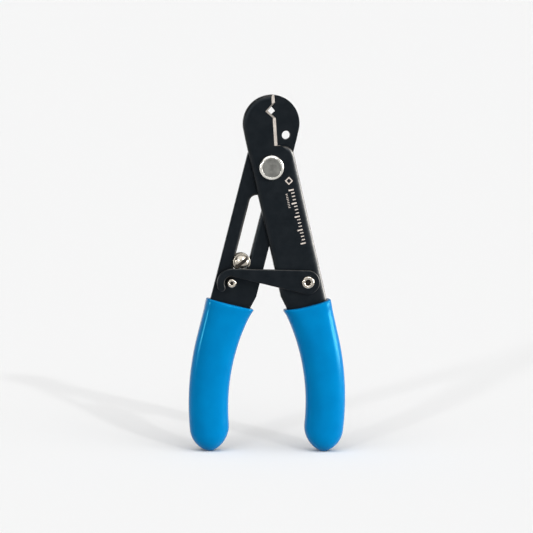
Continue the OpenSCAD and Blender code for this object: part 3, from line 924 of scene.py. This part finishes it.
def make_grip(name, body, node, right, sag):
    """A dipped sleeve: sections from the rim, round the lip, along the handle to the tip."""
    tip = tip_point(TOE_R, HEEL_R)
    ta = math.atan2(tip[1] - TOE_C[1], tip[0] - TOE_C[0])
    ha = math.atan2(tip[1] - HEEL_C[1], tip[0] - HEEL_C[0])
    outer = [on_bar(BAR_OUT + GRIP_WALL, RIM_S)] + arc(OUT_C, OUT_R, HALF, TOE_A, 40)
    outer += arc(TOE_C, TOE_R, TOE_A, ta, 40, False)
    inner = list(reversed(arc(HEEL_C, HEEL_R, ha, HEEL_A - math.pi, 40)[:-1]
                          + arc(IN_C, IN_R, HEEL_A, rim_angle(IN_R), 40)))
    n_len = 96
    # closer sections towards the tip
    out_pts, in_pts = resample(outer, 480), resample(inner, 480)
    picks = [int(round(480 * (1 - (1 - i / n_len) ** 1.25))) for i in range(n_len + 1)]
    half_t = GRIP_T / 2
    mid_y = -PLATE_T / 2
    n_ring = 72
    rings = []
    total = math.hypot(tip[0] - (out_pts[0][0] + in_pts[0][0]) / 2, tip[1] - (out_pts[0][1] + in_pts[0][1]) / 2)

    def section(o, i, th, power, dip=0.0, push=0.0):
        """A rounded-rectangle ring between an outer and an inner edge point."""
        cx, cz = (o[0] + i[0]) / 2, (o[1] + i[1]) / 2
        hw = math.hypot(o[0] - i[0], o[1] - i[1]) / 2
        ux, uz = (o[0] - i[0]) / (2 * hw), (o[1] - i[1]) / (2 * hw)
        ring = []
        for k in range(n_ring):
            a = 2 * math.pi * k / n_ring
            c, s = math.cos(a), math.sin(a)
            w = math.copysign(abs(c) ** (2 / power), c) * (hw + push)
            t = math.copysign(abs(s) ** (2 / power), s) * (th + push)
            drop = dip * (1 - min(1.0, abs(w) / (hw + 1e-6)) ** 2)
            x, z = cx + ux * w - uz * 0 + uz * drop, cz + uz * w - ux * drop
            ring.append(world((x, max(z, -PIVOT_H)), mid_y + t))
        return ring

    def shift(p, s):
        """p moved along the handle by s, towards the tip."""
        d = on_bar(0, 1)
        return (p[0] + d[0] * s, p[1] + d[1] * s)

    o0, i0 = out_pts[0], in_pts[0]
    # inside of the sleeve, down to where it grips the tang
    ux, uz = turn((1, 0), HALF)
    tang_o = (o0[0] - ux * (GRIP_WALL - 0.02), o0[1] - uz * (GRIP_WALL - 0.02))
    tang_i = (i0[0] + ux * (GRIP_WALL - 0.02), i0[1] + uz * (GRIP_WALL - 0.02))
    rings.append(section(shift(tang_o, 2.0), shift(tang_i, 2.0), PLATE_T / 2 + 0.02, 9.0, sag))
    rings.append(section(shift(tang_o, 0.75), shift(tang_i, 0.75), PLATE_T / 2 + 0.04, 9.0, sag))
    rings.append(section(shift(tang_o, 0.35), shift(tang_i, 0.35), PLATE_T / 2 + 0.12, 8.0, sag, 0.05))
    lip = 0.8
    for i in range(1, 11):
        f = i / 10
        a = math.pi * f
        # from the tang's mouth over the rounded rim to the outer skin
        th = PLATE_T / 2 + 0.35 + (half_t - 0.1 - PLATE_T / 2 - 0.35) * (0.5 - 0.5 * math.cos(a)) ** 0.8
        inset = (GRIP_WALL - 0.15) * (1 - (0.5 - 0.5 * math.cos(a)) ** 0.8)
        along = lip * (1 - math.sin(a) ** 0.7) if f > 0.5 else 0.35 * (1 - math.sin(a) ** 0.7)
        o = (o0[0] - ux * inset, o0[1] - uz * inset)
        k = (i0[0] + ux * inset, i0[1] + uz * inset)
        rings.append(section(shift(o, along), shift(k, along), th, 3.2 + 3.2 * (1 - f), sag))
    done = False
    for n, j in enumerate(picks):
        o, i = out_pts[j], in_pts[j]
        depth = math.hypot(o[0] - o0[0], o[1] - o0[1])
        if depth < lip * 1.3:
            continue
        w = math.hypot(o[0] - i[0], o[1] - i[1])
        if w < 0.25:
            continue
        cx, cz = (o[0] + i[0]) / 2, (o[1] + i[1]) / 2
        left = math.hypot(tip[0] - cx, tip[1] - cz)
        reach = 6.5
        f = 1.0 if left > reach else math.sqrt(max(0.0, 1 - (1 - left / reach) ** 2))
        power = 2.35 + 0.9 * math.exp(-depth / 9.0)
        # a trace of swelling below the rim, where the dipped vinyl gathers
        swell = 0.12 * math.exp(-((depth - 1.5) / 1.6) ** 2)
        fade = max(0.0, 1 - depth / 14.0)
        rings.append(section(o, i, min(half_t, half_t * f), power, sag * fade ** 2, -0.12 + swell))
    rings.append(section((tip[0] + 0.08, tip[1] + 0.02), (tip[0] - 0.08, tip[1] + 0.02), 0.25, 2.2))
    ob = loft(name, rings, [MAT_VINYL])
    if not right:
        ob.data.transform(Matrix.Rotation(math.pi, 4, "Z"))
    sub = ob.modifiers.new("smooth", "SUBSURF")
    sub.levels = sub.render_levels = 1
    return place(ob, body, "blue_vinyl", node)

# ------------------------------------------------------------------ build

make_front()
make_rear()
make_marks()
make_latch()
make_pivot()
make_spring()
make_latch_rivet()
make_catch_pin()
make_stop()
make_grip("right_sleeve", "front_half", "right_grip", True, 0.55)
make_grip("left_sleeve", "rear_half", "left_grip", False, 0.10)

# ------------------------------------------------------------------ stage

FLOOR = 0.878        # reflectance at which the floor meets the horizon without a line


def stage_floor():
    """A wide pale floor."""
    r = 60.0
    ob = new_object("studio_floor", [(-r, -r, 0), (r, -r, 0), (r, r, 0), (-r, r, 0)], [(0, 1, 2, 3)], [], False)
    m, nt, p = principled("studio_white")
    p.inputs["Base Color"].default_value = (FLOOR, FLOOR, FLOOR, 1)
    p.inputs["Roughness"].default_value = 1.0
    p.inputs["Specular IOR Level"].default_value = 0.0
    ob.data.materials.append(m)
    return ob


def sun(name, azimuth, elevation, strength, spread, color=(1, 1, 1)):
    """A distant soft light, azimuth measured to the right of the front view."""
    li = bpy.data.lights.new(name, "SUN")
    li.energy, li.angle, li.color = strength, math.radians(spread), color
    ob = bpy.data.objects.new(name, li)
    bpy.context.scene.collection.objects.link(ob)
    a, e = math.radians(azimuth), math.radians(elevation)
    to = Vector((math.sin(a) * math.cos(e), -math.cos(a) * math.cos(e), math.sin(e)))
    ob.location = to
    ob.rotation_euler = to.to_track_quat("Z", "Y").to_euler()
    return ob


def flagged(light, ob):
    """Keeps a side light off an object, as a studio flag does."""
    off = bpy.data.collections.new(light.name + "_flag")
    off.objects.link(ob)
    light.light_linking.receiver_collection = off
    off.collection_objects[0].light_linking.link_state = "EXCLUDE"
    return light


def studio_world():
    """Even pale surroundings: a white band at the horizon, a dimmer wall above it and a wide
    soft box overhead."""
    w = bpy.data.worlds.new("studio")
    bpy.context.scene.world = w
    w.use_nodes = True
    nt = w.node_tree
    tc = nt.nodes.new("ShaderNodeTexCoord")
    tip = math.radians(28)

    def band(axis, stops):
        """Brightness by the cosine of the angle from an axis."""
        dot = nt.nodes.new("ShaderNodeVectorMath")
        dot.operation = "DOT_PRODUCT"
        dot.inputs[1].default_value = axis
        nt.links.new(tc.outputs["Generated"], dot.inputs[0])
        r = nt.nodes.new("ShaderNodeValToRGB")
        r.color_ramp.interpolation = "EASE"
        els = r.color_ramp.elements
        els[0].position, els[0].color = stops[0][0], (stops[0][1],) * 3 + (1,)
        els[1].position, els[1].color = stops[-1][0], (stops[-1][1],) * 3 + (1,)
        for pos, v in stops[1:-1]:
            els.new(pos).color = (v, v, v, 1)
        nt.links.new(dot.outputs["Value"], r.inputs["Fac"])
        return r.outputs["Color"]

    low = band((0, 0, 1), [(0.0, 0.922), (0.10, 0.922), (0.20, WALL), (1.0, WALL)])
    box = band((0, -math.sin(tip), math.cos(tip)), [(0.0, 0.0), (0.66, 0.0), (0.80, BOX), (1.0, BOX)])
    both = nt.nodes.new("ShaderNodeVectorMath")
    both.operation = "ADD"
    nt.links.new(low, both.inputs[0])
    nt.links.new(box, both.inputs[1])
    nt.links.new(both.outputs["Vector"], nt.nodes["Background"].inputs["Color"])
    nt.nodes["Background"].inputs["Strength"].default_value = 1.0


WALL, BOX = 0.20, 1.7
floor = stage_floor()
studio_world()
sun("key_front_right", 18.8, 28.8, 0.56, 2.6)
sun("key_front_left", -28.5, 14.7, 0.64, 2.8)
flagged(sun("soft_right", 70.0, 12.0, 7.4, 36.0), floor)
flagged(sun("strip_left", -74.0, 8.0, 0.75, 6.0), floor)

AZ, EL, ROLL = math.radians(-8.0), math.radians(5.5), math.radians(0.85)
LENS, SENSOR = 250.0, 36.0
FRAME_W = 0.1942
AIM = Vector((-0.0009, 0.0, 0.0678))
dist = FRAME_W * LENS / SENSOR
cam = bpy.data.cameras.new("camera")
cam.lens, cam.sensor_width = LENS, SENSOR
cam_ob = bpy.data.objects.new("camera", cam)
bpy.context.scene.collection.objects.link(cam_ob)
cam_ob.location = AIM + dist * Vector((math.sin(AZ) * math.cos(EL), -math.cos(AZ) * math.cos(EL), math.sin(EL)))
look = (AIM - cam_ob.location).to_track_quat("-Z", "Y")
cam_ob.rotation_euler = (look.to_matrix().to_4x4() @ Matrix.Rotation(ROLL, 4, "Z")).to_euler()
bpy.context.scene.camera = cam_ob
bpy.context.scene.view_settings.view_transform = "Standard"
